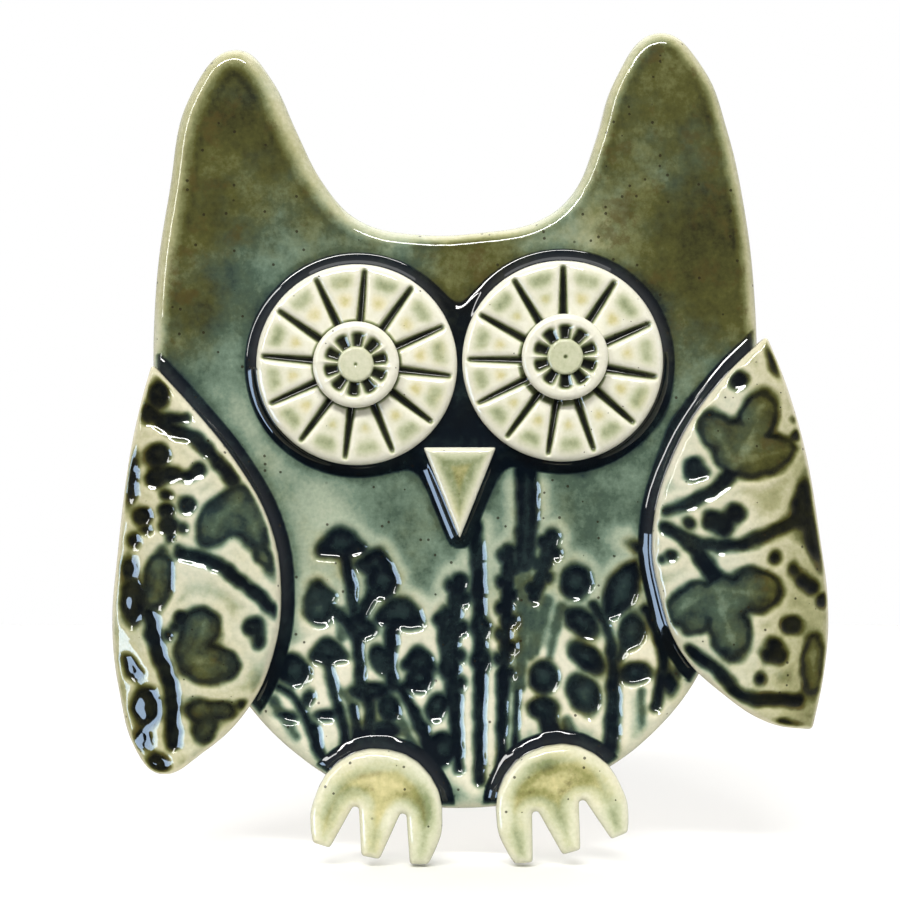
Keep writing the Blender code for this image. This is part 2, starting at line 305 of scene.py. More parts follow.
class Clay:
    """A mesh in the making: points in millimetres, faces, and the glaze at each point."""

    def __init__(self):
        self.points, self.faces, self.pool, self.bare, self.count = [], [], [], [], 0

    def add(self, points, faces, pool, bare):
        first = self.count
        self.points.append(points)
        self.faces.extend((np.asarray(faces) + first).tolist() if len(faces) else [])
        self.pool.append(np.broadcast_to(pool, len(points)))
        self.bare.append(np.broadcast_to(bare, len(points)))
        self.count += len(points)
        return first + np.arange(len(points))

    def band(self, upper, lower):
        """Faces between two closed rings of points."""
        after, below = np.roll(upper, -1), np.roll(lower, -1)
        self.faces.extend(np.stack([after, upper, lower, below], axis=1).tolist())

    def mesh(self, name, sharp, warmth):
        mesh = bpy.data.meshes.new(name)
        points = np.concatenate(self.points)
        mesh.from_pydata((points * MM).tolist(), [], self.faces)
        warm = [warmth(points[:, [0, 2]])]
        for label, values in (("pool", self.pool), ("bare", self.bare), ("warm", warm)):
            layer = mesh.attributes.new(label, "FLOAT", "POINT")
            layer.data.foreach_set("value", np.concatenate(values).astype(np.float32))
        mesh.shade_smooth()
        mesh.set_sharp_from_angle(angle=radians(sharp))
        return mesh


def at_depth(places, y):
    """Places (x, z) as points in space at that depth."""
    return np.stack([places[:, 0], np.broadcast_to(y, len(places)), places[:, 1]], axis=1)


def slab(name, rim, back_at, thickness, edge, step, surface, warmth, fine_at=None, guides=None, pocket=None):
    """A sheet of clay: its relief and rounded front edge, its wall and its back, as one closed mesh.

    surface(places, inset) gives the front's rise and the depth of glaze at each place.
    """
    inner = inward(rim)
    points = [rim]
    shares = (0.012, 0.05, 0.12, 0.22, 0.35, 0.50, 0.68, 0.88)
    for share in shares:
        ring = rim + inner * edge * share
        points.append(ring[inset_of(ring, rim) > 0.94 * edge * share])
    grid_points, wide = lattice(rim, step)
    deep = inset_of(grid_points, rim) > edge * shares[-1] + step * 0.45
    grid_points, wide = grid_points[deep], wide[deep]
    if fine_at is not None:
        grid_points = grid_points[fine_at(grid_points, wide)]
    if guides is not None:
        points.append(guides[inset_of(guides, rim) > edge * shares[-1] + 0.2])
    places, faces, rim_ids = triangles_inside(np.concatenate(points + [grid_points]), len(rim))
    inset = np.maximum(inset_of(places, rim), 0)
    inset[rim_ids] = 0
    short = np.maximum(edge - inset, 0)
    rounding = edge - np.sqrt(np.maximum(edge ** 2 - short ** 2, 0))
    rise, pool = surface(places, inset)
    clay = Clay()
    front = at_depth(places, back_at(places) - thickness + rounding - rise)
    clay.add(front, faces, pool, 0.0)
    rim_depth = front[rim_ids, 1]
    back_depth = back_at(rim)
    upper = rim_ids
    for share, glaze, bare in ((0.3, 0.15, 0.0), (0.6, 0.17, 0.0), (0.86, 0.26, 0.1), (0.93, 0.2, 1.0)):
        ring = at_depth(rim, rim_depth + (back_depth - rim_depth) * share)
        lower = clay.add(ring, [], glaze, bare)
        clay.band(upper, lower)
        upper = lower
    foot = rim + inner * 0.35
    edge_ids = clay.add(at_depth(foot, back_at(foot)), [], 0.2, 1.0)
    clay.band(upper, edge_ids)
    rear_points, _ = lattice(rim, 2.6)
    rear_points = rear_points[inset_of(rear_points, rim) > 1.2]
    if pocket is not None:
        centre, radius, floor_depth = pocket
        turns = np.arange(96) * tau / 96
        round_line = np.stack([np.cos(turns), np.sin(turns)], axis=1)
        rear_points = rear_points[np.linalg.norm(rear_points - centre, axis=1) > radius + 1.6]
        mouth = centre + round_line * (radius + 0.5)
        rear_points = np.concatenate([mouth, rear_points])
    places, faces, _ = triangles_inside(np.concatenate([foot, rear_points]), len(foot))
    if pocket is not None:
        centroids = places[faces].mean(1)
        faces = faces[np.linalg.norm(centroids - centre, axis=1) > radius + 0.49]
    ids = clay.add(at_depth(places, back_at(places)), faces[:, ::-1], 0.2, 1.0)
    if pocket is not None:
        nearest = [np.linalg.norm(places - point, axis=1).argmin() for point in mouth]
        upper = ids[nearest]
        for wider, deeper in ((0.12, 0.12), (0.0, 0.5), (0.0, 0.7), (0.0, 0.94), (-0.5, 1.0)):
            y = back_at(mouth) - floor_depth * (deeper if deeper > 0.12 else 0.04)
            lower = clay.add(at_depth(centre + round_line * (radius + wider), y), [], 0.2, 1.0)
            clay.band(lower, upper)
            upper = lower
        hub = clay.add(at_depth(np.array([centre]), back_at(centre[None]) - floor_depth), [], 0.2, 1.0)
        after = np.roll(upper, -1)
        clay.faces.extend([[int(a), int(b), int(hub[0])] for a, b in zip(after, upper)])
    mesh = clay.mesh(name, 42, warmth)
    shape = bmesh.new()
    shape.from_mesh(mesh)
    bmesh.ops.remove_doubles(shape, verts=shape.verts, dist=0.002 * MM)
    shape.to_mesh(mesh)
    shape.free()
    return mesh


# -- what a stamp can leave in clay: each gives the distance to a mark's edge, negative inside it

def stroke(places, line, width, end_width=None):
    """A twig or stem along a smooth line through the given points."""
    line = np.array(line, float)
    end_width = width if end_width is None else end_width
    ahead = np.vstack([2 * line[0] - line[1], line, 2 * line[-1] - line[-2]])
    path = [line[0]]
    for k in range(1, len(ahead) - 2):
        p0, p1, p2, p3 = ahead[k - 1:k + 3]
        for t in np.linspace(0.2, 1, 5):
            path.append(
                0.5 * (2 * p1 + (p2 - p0) * t + (2 * p0 - 5 * p1 + 4 * p2 - p3) * t ** 2
                       + (3 * p1 - p0 - 3 * p2 + p3) * t ** 3)
            )
    path = np.array(path)
    widths = np.linspace(width, end_width, len(path)) / 2
    best = np.full(len(places), 1e3)
    for start, end, r0, r1 in zip(path[:-1], path[1:], widths[:-1], widths[1:]):
        run = end - start
        share = np.clip((places - start) @ run / (run @ run), 0, 1)
        gap = np.linalg.norm(places - start - share[:, None] * run, axis=1)
        best = np.minimum(best, gap - r0 - (r1 - r0) * share)
    return best


def oval(places, x, z, length, width, lean=0):
    """An oval whose long axis leans clockwise from upright by that many degrees."""
    axis = np.array([sin(radians(lean)), cos(radians(lean))])
    offset = places - (x, z)
    along, across = offset @ axis, offset @ np.array([axis[1], -axis[0]])
    size = np.sqrt((along / (length / 2)) ** 2 + (across / (width / 2)) ** 2)
    return (size - 1) * min(length, width) / 2


def leaf(places, ends, width):
    """A leaf pointed at both ends."""
    base, tip = np.array(ends, float)
    length = np.linalg.norm(tip - base)
    length, width = length - 1.4, width - 1.4
    radius = (length ** 2 + width ** 2) / (4 * width)
    side = np.array([base[1] - tip[1], tip[0] - base[0]]) / (length + 1.4) * (radius - width / 2)
    centre = (base + tip) / 2
    gaps = [np.linalg.norm(places - centre - s * side, axis=1) for s in (-1, 1)]
    return np.maximum(*gaps) - radius - 0.7


def berry(places, x, z, radius):
    return np.linalg.norm(places - (x, z), axis=1) - radius


def head(places, x, z, width, height, lean=0):
    """A flower head: a scalloped dome over a nearly flat underside. x and z are its middle."""
    turn = radians(lean)
    offset = places - (x, z)
    across = offset @ np.array([cos(turn), -sin(turn)])
    up = offset @ np.array([sin(turn), cos(turn)]) + height / 2
    size = np.sqrt((across / (width / 2)) ** 2 + (up / height) ** 2)
    dome = (size - 1) * height * 0.8 - 0.16 * np.cos(7 * np.arctan2(across, up + 0.4 * height))
    under = -up - 0.3 + 0.12 * (across / (width / 2)) ** 2 * height
    return 0.45 * np.logaddexp(dome / 0.45, under / 0.45)


def spike(places, line, width, bud):
    """A flower spike: a stem thickened by buds on alternate sides."""
    line = np.array(line, float)
    best = stroke(places, line, width, width * 0.85)
    steps = np.concatenate([[0], np.cumsum(np.linalg.norm(np.diff(line, axis=0), axis=1))])
    for number, reach in enumerate(np.arange(bud * 0.3, steps[-1], bud * 0.72)):
        centre = np.array([np.interp(reach, steps, line[:, i]) for i in (0, 1)])
        centre[0] += (0.36 if number % 2 else -0.36) * width
        best = np.minimum(best, oval(places, *centre, bud * 0.95, width * 0.85, 16 if number % 2 else -16))
    return best


def print_of(places, marks, wander=0.2):
    """Distance to the nearest mark's edge, negative inside it, with the wander of a hand-carved stamp."""
    total = np.full(len(places), 1e-12)
    for mark, *sizes in marks:
        first = np.array(sizes[0] if isinstance(sizes[0], (list, tuple)) else [sizes[:2]], float)
        first = first.reshape(-1, 2)
        near = np.all((places > first.min(0) - 15) & (places < first.max(0) + 15), axis=1)
        total[near] += np.exp(-np.maximum(mark(places[near], *sizes), -9) / 0.32)
    return -0.32 * np.log(total) + wander * unevenness(places, 2.6, 5)


def glazed_print(print_edge, press, land_glaze, far_glaze, depth_glaze=0.92, heart_glaze=0.66):
    """How far a print sinks the surface, and the glaze over it: dark inside, thin on its brink."""
    sunk = press * ease(-print_edge, -0.80, 1.10)
    brink = 0.26 * press * hump(print_edge, 1.1, 0.7)
    swell = 0.25 * press * ease(-print_edge, 1.4, 3.4)
    land = land_glaze + (far_glaze - land_glaze) * ease(print_edge, 1.0, 3.8)
    inside = depth_glaze + (heart_glaze - depth_glaze) * ease(-print_edge, 1.3, 3.0)
    pool = land + (inside - land) * ease(-print_edge, -0.75, 0.95)
    return brink - sunk + swell, pool


PLANTS = [
    # a tall branching herb with domed flower heads, on the left
    (head, -24.1, -42.9, 10.6, 6, -4),
    (stroke, [(-23.4, -44), (-22.4, -50), (-21.4, -56), (-20.6, -63), (-19.8, -73)], 2.4, 2.6),
    (head, -16.9, -47, 8, 5.6, 22),
    (oval, -15.6, -50.6, 7.8, 6.6, -14),
    (stroke, [(-17, -52), (-19, -56), (-20.4, -60)], 3.2, 2.6),
    (head, -28.6, -53.2, 7.2, 5, -16),
    (oval, -28.4, -56.6, 7, 6.4, -26),
    (stroke, [(-26.4, -56.4), (-24, -58), (-21.4, -60.6)], 2.8, 2.8),
    (oval, -19.9, -60.4, 4.8, 6.8, 0),
    (oval, -16, -66.6, 7.2, 4.6, -22),
    (head, -12, -57, 10.6, 6.4, 6),
    (stroke, [(-13, -58.4), (-13.8, -62), (-14, -67), (-13.6, -72)], 3.2, 2.6),
    (head, -8.1, -66.6, 7.8, 5.4, 6),
    (oval, -8.1, -70.3, 6.4, 5.8, 10),
    (stroke, [(-9.6, -71.4), (-12, -72.4), (-13.6, -71.6)], 2.4, 2.2),
    # smaller heads at its foot
    (head, -26.5, -64.8, 8.6, 5.2, 0),
    (oval, -33.6, -68.7, 6.8, 7.6, 20),
    (oval, -37.6, -66.2, 3, 4.4, 30),
    (stroke, [(-26.5, -67.6), (-25.2, -74), (-23.4, -80), (-22.8, -86)], 2.2, 2.4),
    (oval, -18, -73, 4.4, 9.4, 0),
    (oval, -14.2, -76.4, 6.4, 5, -14),
    (stroke, [(-18.4, -74), (-18.2, -79), (-19.4, -86)], 2.8, 3),
    (oval, -14.8, -80.6, 4, 7.2, 0),
    (stroke, [(-21.6, -76), (-20.4, -82)], 2, 3),
    (oval, -35.2, -77.8, 2.4, 5.6, 8),
    (stroke, [(-36.4, -72), (-33.2, -74.4), (-30.8, -79), (-28.2, -86)], 1.6, 2.2),
    (oval, -27, -77.6, 2.6, 5.2, -8),
    (oval, -30.6, -74.4, 4, 3, 20),
    (stroke, [(-29.6, -80.4), (-28.8, -83.6)], 2.8, 2.4),
    (stroke, [(-11.8, -72.6), (-9, -77.6), (-6.6, -83), (-5, -87)], 2.2, 3.4),
    (oval, -4.6, -76.2, 6.8, 4.8, 20),
    (oval, -3.4, -84.6, 7.4, 6.2, 0),
    (oval, -7.6, -80.4, 2.6, 3.4, 0),
    # flower spikes and reeds in the middle
    (spike, [(0.1, -50.6), (-0.9, -56), (-1.4, -64), (-1.3, -74)], 3.7, 3.9),
    (oval, -3.7, -58.4, 3.6, 3.6, 0),
    (stroke, [(-3.7, -58.6), (-3, -64), (-2.4, -70)], 2.6, 2.4),
    (stroke, [(-1.3, -72), (-0.8, -80), (-0.2, -88.6)], 3.4, 2.4),
    (stroke, [(3.2, -40), (3.7, -50), (4.2, -66), (4, -78), (4, -91)], 3.2, 2.5),
    (oval, 4.4, -60.3, 5.4, 4.4, 0),
    (oval, 4.3, -66.6, 5.4, 4.5, 0),
    (spike, [(10.1, -44.8), (9.7, -52), (9.4, -60), (8.9, -71)], 3.2, 3.6),
    (stroke, [(8.8, -70), (8.6, -78), (8.4, -88)], 3, 2.2),
    (stroke, [(13.4, -29), (13.7, -36), (13.4, -41), (13, -47)], 4.8, 4.4),
    (spike, [(18.6, -41.8), (17.6, -46), (16.4, -50), (15, -54)], 3.6, 3.4),
    (stroke, [(11.6, -73), (11.4, -79), (11, -86)], 1.4, 1.7),
    # a leafy branch on the right
    (stroke, [(27, -55.6), (30, -61), (31, -68), (30.9, -77), (30.3, -86)], 2, 3.7),
    (oval, 23.5, -51, 7.9, 6.6, 0),
    (oval, 24.7, -59.2, 9.2, 5.6, -50),
    (oval, 25.8, -66.4, 9.8, 5.4, -48),
    (oval, 25, -73.6, 9.2, 6.8, -26),
    (oval, 17, -70.2, 7.4, 6.4, 0),
    (oval, 16.8, -76.4, 5, 6.8, 0),
    (stroke, [(17.4, -77), (18.6, -81), (20.6, -85)], 4.4, 3.4),
    (leaf, [(29.6, -58.8), (35.6, -46.6)], 6.8),
    (oval, 34.8, -60.8, 8, 6, 12),
    (stroke, [(33.4, -64), (32, -66.6)], 2.4, 1.8),
    (oval, 35.4, -69.2, 4.8, 7.2, -12),
    (stroke, [(37.6, -56.6), (40.2, -62), (41.2, -68), (39.6, -76)], 2.4, 2.6),
    (oval, 42.6, -71.4, 6.4, 3.4, -10),
    (oval, 36.6, -44.2, 5.2, 2.3, -64),
]

# light, shallow strokes: the reeds behind, where the glaze stays green
REEDS = [
    (stroke, [(13, -45), (12.7, -58), (12, -72)], 3.2, 2.4),
    (stroke, [(15.2, -53), (14.6, -60), (14.2, -66)], 2, 1.6),
    (stroke, [(17.6, -54.8), (16, -61), (15.2, -65)], 2.4, 1.6),
    (stroke, [(20.4, -56), (18.9, -62), (18.2, -66)], 2.2, 1.4),
    (stroke, [(21.6, -79), (22.6, -84)], 2.4, 2.4),
    (stroke, [(44.2, -53), (44.6, -60), (44, -70)], 1.8, 1.6),
    (stroke, [(-23.2, -57), (-24, -62)], 2, 2),
    (stroke, [(-37.4, -75), (-33, -82)], 2.2, 1.8),
    (stroke, [(-12, -78.6), (-9.4, -84)], 1.8, 1.8),
    (stroke, [(-24.8, -72), (-21, -76)], 1.4, 1.4),
    (stroke, [(36.6, -73), (37, -82)], 1.6, 1.4),
]

# where the glaze ran thicker or thinner, as (x, z, reach, change)
DRIFTS = [
    (-54, 2, 8, 0.13), (45, 14, 9, 0.15), (51, 0, 7, 0.06), (-49, 20, 8, 0.06), (-46, 46, 9, 0.10),
    (-41, -17, 8, -0.13), (43, -14, 7, -0.09), (-33, -42, 8, -0.24), (-24, 17, 7, -0.09),
    (23, 18, 8, -0.21), (27, -31, 8, 0.08), (38, -40, 9, -0.07), (0, 12, 9, 0.03),
]

# a pool reaches this far from an applied piece, and pools this close to each other run together
POOL_WIDTH = 2.5
MELT = 2.0
applied_rims = [
    rim_of(node, 0.45, 0.5)[0]
    for node in (
        "left_wing", "right_wing", "left_eye_disc", "right_eye_disc", "beak", "left_foot", "right_foot",
    )
]


def gap_to_applied(places):
    """Distance to the nearest applied piece, rounded where two of them are close, negative under one."""
    total = np.full(len(places), 1e-30)
    for rim in applied_rims:
        near = np.all((places > rim.min(0) - 15) & (places < rim.max(0) + 15), axis=1)
        total[near] += np.exp(np.clip(inset_of(places[near], rim), -40, 20) / MELT)
    # glaze has run down between the eyes and stands in the corner over the beak
    between_eyes = stroke(places, [(0.1, -8.0), (0.0, -12.0), (0.1, -16.0), (0.1, -20.5)], 1.0, 7.0)
    total += np.exp(-np.maximum(between_eyes + 1.5, -9) / MELT)
    return -MELT * np.log(total)


def glaze_guides():
    """Points in rows beside each applied piece, where the glaze's surface turns most sharply."""
    rows = []
    for rim in applied_rims:
        for gap in (2.75, 2.5, 2.3, 2.1, 1.9, 1.6, 1.25, 0.9, 0.55, 0.2, -0.2, -0.7, -1.4):
            row = rim - inward(rim) * gap
            clear = np.ones(len(row), bool)
            for other in applied_rims:
                clear &= -inset_of(row, other) > gap - (0.04 if other is rim else 0.0)
            rows.append(row[clear])
    rows = np.concatenate(rows)
    saddle = np.array([(-4.4, -3.0), (4.6, 8.0)])
    outside = np.any((rows < saddle[0]) | (rows > saddle[1]), axis=1)
    net, _ = lattice(saddle, 0.2)
    return np.concatenate([rows[outside], net])


def patch(places, x, z, size):
    """1 at the given place, and fading to 0 round it."""
    return np.exp(-((places - (x, z)) ** 2).sum(1) / (2 * size ** 2))


def body_surface(places, inset):
    """The front of the slab: the prints, the thin edge, and the pools round what is applied."""
    x, z = places.T
    print_edge = print_of(places, PLANTS)
    crowd = ease(-z, 50, 66)
    far_glaze = (
        0.455 + 0.09 * ease(z, -8, 30) + 0.04 * ease(x, 22, 60) * ease(z, -20, 10)
        + 0.06 * unevenness(places, 13, 3)
    )
    for across, up, reach, change in DRIFTS:
        far_glaze = far_glaze + change * patch(places, across, up, reach)
    rise, pool = glazed_print(print_edge, 0.85, 0.24 - 0.20 * crowd, far_glaze - 0.15 * crowd, 0.97, 0.80)
    rise = rise + 0.025 * unevenness(places, 1.7, 21) * ease(-print_edge, -3.0, -0.4)
    reed_edge = print_of(places, REEDS)
    rise = rise * (1 - 0.6 * patch(places, 15, -50, 4)) - 0.06 * ease(-reed_edge, -0.9, 0.9)
    pool = pool + np.maximum(0.62 - pool, 0) * ease(-reed_edge, -0.8, 0.7)
    band = 3.5 + 1.7 * ease(-x, -10, 50) * ease(z, -10, 20) - 1.2 * patch(places, 2, 18, 17)
    thin = 0.10 + 0.08 * ease(z, -20, 20)
    pool = thin + (pool - thin) * ease(inset / band, 0.22, 1.0)
    pool = pool + 0.07 * hump(inset, band, 0.6) * ease(z, -15, 10)
    gap = gap_to_applied(places)
    climb = np.clip(POOL_WIDTH - (gap + np.sqrt(gap ** 2 + 0.04)) / 2, 0, None)
    fillet = 0.24 * climb * ease(climb, -0.2, 0.4) + 0.20 * climb ** 2
    fillet *= ease(gap, -5.0, -3.0)
    # between the eyes the pool lies level behind a low lip
    lip = 0.42 * ease(climb, 0.0, 1.0)
    fillet += (lip - fillet) * hump(x, 0.1, 3.8) * ease(z, -13, -2) * ease(-z, -9, -6.5)
    on_slab = ease(inset, 0.3, 2.0)
    rise = rise * ease(inset, 0.5, 2.5) * ease(gap, 1.4, 5.5) + fillet * on_slab
    pool = pool + 0.15 * hump(gap, POOL_WIDTH, 1.3) * on_slab
    brim = ease(-gap, -POOL_WIDTH - 0.22, -POOL_WIDTH + 0.18) * on_slab
    pool = pool + (0.99 - pool) * brim
    return rise + 0.05 * unevenness(places, 12, 8), pool


def body_detail(places, wide):
    """Which lattice points to keep: all of them near a print or an applied piece, but none on a guide."""
    gap = gap_to_applied(places)
    kept = wide | (print_of(places, PLANTS + REEDS) < 2.0) | ((gap < 4.0) & (gap > -1.6))
    near = np.flatnonzero(kept & (gap < POOL_WIDTH + 1.5))
    tree = KDTree(len(guides))
    for i, (x, z) in enumerate(guides.tolist()):
        tree.insert((x, z, 0), i)
    tree.balance()
    kept[near] = [tree.find((x, z, 0))[2] > 0.3 for x, z in places[near].tolist()]
    return kept


def body_warmth(places):
    """0 where the glaze is teal and 1 where it turned olive: up the ears, and down the outer sides."""
    x, z = places.T
    up = 0.80 * ease(z + 0.10 * x, -24, 40)
    sides = 0.6 * ease(np.abs(x + 2), 32, 54) * ease(z, -24, 12)
    turned = 0.25 * patch(places, -34, 14, 8) + 0.4 * patch(places, 23, 18, 7)
    turned -= 0.35 * patch(places, 0, 12, 9)
    brinks = 0.55 * hump(print_of(places, PLANTS), 0.1, 1.1) * ease(-z, 20, 44)
    brinks *= 0.6 + 0.5 * unevenness(places, 9, 31)
    return np.clip(up + sides - turned, 0, 0.95) + brinks


def flat_back(places):
    return np.zeros(len(places))


wire_low, wire_high = (np.array(corner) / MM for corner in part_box("hanging_wire"))
pocket_radius, pocket_drop, pocket_depth = 12.0, 4.0, 4.8
wire_middle = (wire_low + wire_high) / 2
pocket_centre = np.array([wire_middle[0], wire_middle[2] - pocket_drop])
body_rim, _ = rim_of("body_slab", 0.5, 1.6)
body_thickness = (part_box("body_slab")[1][1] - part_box("body_slab")[0][1]) / MM
guides = glaze_guides()
body_mesh = slab(
    "body_slab_clay", body_rim, flat_back, body_thickness, 3.0, 0.42, body_surface, body_warmth,
    body_detail, guides, (pocket_centre, pocket_radius, pocket_depth),
)
body = in_scene("body_slab_clay", body_mesh)


def glaze(name, olive_bias, teal_stops, olive_stops):
    """Translucent celadon glaze: its colour follows the depth of glaze, and drifts from teal to olive."""
    material = bpy.data.materials.new(name)
    material.use_nodes = True
    tree = material.node_tree
    surface = tree.nodes["Principled BSDF"]
    node, maths, plus, minus, times, band = node_tools(tree)

    def mix(factor, first, second):
        second = (*second, 1.0) if isinstance(second, tuple) else second
        return node("ShaderNodeMix", {0: factor, 6: first, 7: second}, data_type="RGBA").outputs[2]

    where = node("ShaderNodeTexCoord").outputs["Object"]

    def noise(scale, detail, roughness=0.5, lift=0.0):
        shifted = node("ShaderNodeMapping", {0: where, "Location": (lift, lift, lift)}).outputs[0]
        inputs = {"Vector": shifted, "Scale": scale, "Detail": detail, "Roughness": roughness}
        return node("ShaderNodeTexNoise", inputs).outputs["Fac"]

    def swing(value, reach):
        return times(minus(value, 0.5), reach)

    def ramp(factor, stops):
        made = node("ShaderNodeValToRGB", {0: factor})
        elements = made.color_ramp.elements
        while len(elements) < len(stops):
            elements.new(0.5)
        for element, (place, colour) in zip(elements, stops):
            element.position = place
            element.color = (*colour, 1.0)
        return made.outputs["Color"]

    pool = node("ShaderNodeAttribute", attribute_name="pool").outputs["Fac"]
    bare = node("ShaderNodeAttribute", attribute_name="bare").outputs["Fac"]
    warm = node("ShaderNodeAttribute", attribute_name="warm").outputs["Fac"]
    clouds = noise(85, 6, 0.62)
    grain = noise(1100, 3, 0.6, 0.3)
    drift = noise(48, 5, 0.65, 0.7)
    mottled = plus(
        pool,
        times(swing(clouds, 0.44), band(pool, 0.08, 0.40, 0.25, 1.0)),
        times(swing(noise(330, 4, 0.7, 1.9), 0.34), band(pool, 0.25, 0.50, 0.1, 1.0)),
        swing(grain, 0.16),
    )
    olive = plus(warm, olive_bias, swing(drift, 2.4))
    colour = mix(band(olive, 0.0, 1.0), ramp(mottled, teal_stops), ramp(mottled, olive_stops))
    iron = times(
        band(noise(150, 6, 0.70, 3.3), 0.52, 0.64), band(olive, 0.30, 0.85, 0.0, 0.6),
        times(band(pool, 0.20, 0.42), band(pool, 0.80, 0.62)),
    )
    colour = mix(iron, colour, (0.076, 0.055, 0.016))
    specks = node("ShaderNodeTexVoronoi", {"Vector": where, "Scale": 640}).outputs
    chance = node("ShaderNodeSeparateColor", {0: specks["Color"]}).outputs
    size = band(chance[1], 0.0, 1.0, 0.06, 0.20)
    dot = times(maths("LESS_THAN", specks["Distance"], size), band(chance[0], 0.80, 0.82))
    colour = mix(times(dot, 0.8), colour, (0.022, 0.017, 0.008))
    clay_colour = ramp(noise(240, 6, 0.65, 2.1), [(0.3, (0.50, 0.43, 0.33)), (0.7, (0.66, 0.59, 0.48))])
    unglazed = band(plus(bare, swing(clouds, 0.5)), 0.42, 0.58)
    tree.links.new(mix(unglazed, colour, clay_colour), surface.inputs["Base Color"])
    tree.links.new(band(unglazed, 0.0, 1.0, 0.045, 0.82), surface.inputs["Roughness"])
    surface.inputs["IOR"].default_value = 1.52
    ripple = times(noise(130, 2, 0.4, 4.0), 0.10)
    pinholes = times(dot, -0.05)
    sandy = times(noise(2600, 3, 0.6, 5.0), unglazed, 0.12)
    relief = plus(ripple, pinholes, sandy)
    bump = node("ShaderNodeBump", {"Strength": 1.0, "Distance": 0.001, "Height": relief})
    tree.links.new(bump.outputs[0], surface.inputs["Normal"])
    return material


TEAL = [
    (0.00, (0.74, 0.71, 0.57)), (0.10, (0.60, 0.60, 0.46)), (0.24, (0.36, 0.42, 0.31)),
    (0.40, (0.165, 0.235, 0.172)), (0.56, (0.067, 0.106, 0.074)), (0.76, (0.020, 0.036, 0.036)),
    (1.00, (0.003, 0.006, 0.010)),
]
OLIVE = [
    (0.00, (0.74, 0.69, 0.50)), (0.10, (0.60, 0.57, 0.39)), (0.24, (0.36, 0.355, 0.185)),
    (0.40, (0.170, 0.178, 0.072)), (0.56, (0.080, 0.081, 0.022)), (0.76, (0.026, 0.026, 0.010)),
    (1.00, (0.004, 0.005, 0.005)),
]
body.data.materials.append(glaze("body_celadon", 0.0, TEAL, OLIVE))
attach(body, "root")
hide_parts("body_slab")


# Wings: two slabs cut freehand and laid over the body's sides, their outer edges sagging towards the
# wall. Broad leaves, twigs and berries are pressed deep into them.

def cluster(places, x, z, *lobes):
    """Several ovals that run into one another: each is (x, z, length, width, lean) from the given place."""
    total = np.full(len(places), 1e-12)
    for dx, dz, length, width, lean in lobes:
        total += np.exp(-np.maximum(oval(places, x + dx, z + dz, length, width, lean), -9) / 0.7)
    return -0.7 * np.log(total)


LEFT_WING_PLANTS = [
    (oval, -60, -13.2, 6.6, 4.8, 10),
    (oval, -62.4, -17, 4.6, 3.4, -30),
    (stroke, [(-62, -16.6), (-58, -19.8), (-52, -22.6), (-45.2, -30.2)], 3.2, 3),
    (stroke, [(-59, -18.4), (-54.6, -17.8)], 2.6, 2.2),
    (cluster, -59.9, -26, (-0.4, 0.6, 5, 5.4, 0), (-0.8, -3.6, 4.6, 4.4, 0), (2.6, -3, 3.4, 4.6, 0)),
    (stroke, [(-57, -29), (-54, -29.4), (-51.9, -28.3)], 2.4, 2.4),
    (berry, -51.9, -28.2, 1.45),
    (oval, -65.6, -30.2, 11, 3, 8),
    (berry, -58.5, -33.4, 1.3),
    (berry, -54.3, -35.2, 1.95),
    (berry, -58.5, -36.4, 1.9),
    (berry, -58, -39.2, 2.1),
    (berry, -63.3, -37.4, 2.2),
    (berry, -55.1, -40, 1.3),
    (berry, -62.6, -40.2, 1.3),
    (berry, -65, -42.5, 1.6),
    (berry, -57.6, -41.8, 1.1),
    (berry, -56.2, -43.5, 0.7),
    (stroke, [(-55.6, -44.8), (-49.2, -46.6), (-42.6, -51.2), (-36.4, -56.6)], 2.9, 2.9),
    (cluster, -65.6, -51, (-0.6, 3, 5.4, 3.6, 0), (0.2, -3.6, 10.4, 6, 0)),
    (berry, -55.4, -58, 1.7),
    (berry, -58, -61.2, 1.15),
    (berry, -56.6, -59.6, 1.2),
    (cluster, -41, -60.2, (-0.2, 0.9, 3.8, 4.4, 0), (1, -1.8, 3.8, 3, 0)),
    (stroke, [(-62, -57), (-60.4, -64.6), (-57.8, -71), (-57.2, -83)], 3.6, 3.4),
    (oval, -65.9, -67.8, 6.4, 3.8, -30),
    (cluster, -62.8, -76.2, (0, 0.6, 9, 6.6, 0), (-0.8, -6, 5, 4.2, 0)),
    (berry, -43.4, -75.2, 1.3),
    (oval, -60.6, -87.2, 4.6, 5.2, 0),
    (stroke, [(-52, -86), (-47, -83)], 2, 1.6),
]
LEFT_WING_LEAVES = [
    (cluster, -47.4, -38, (-1.2, -0.8, 11, 7.6, 22), (2.6, 2.6, 10, 6.8, 40), (6, -0.6, 11, 7.4, -16),
     (2.6, -0.4, 6, 7, 0), (8.4, -7.6, 9, 3.4, -28)),
    (oval, -60.2, -50.4, 13.4, 6.6, 10),
    (cluster, -50.8, -62.4, (-0.6, 3, 8.2, 8.4, 30), (-2.6, -1.4, 11, 7.4, 10), (0.6, -4.6, 8.6, 9.6, 0),
     (4, -4.6, 6, 6.4, 30)),
    (cluster, -50, -76.8, (-1.6, 0.6, 5, 7.6, 0), (3, 0.6, 3.8, 6, 0), (-0.8, -3.2, 6, 5.2, 20)),
]
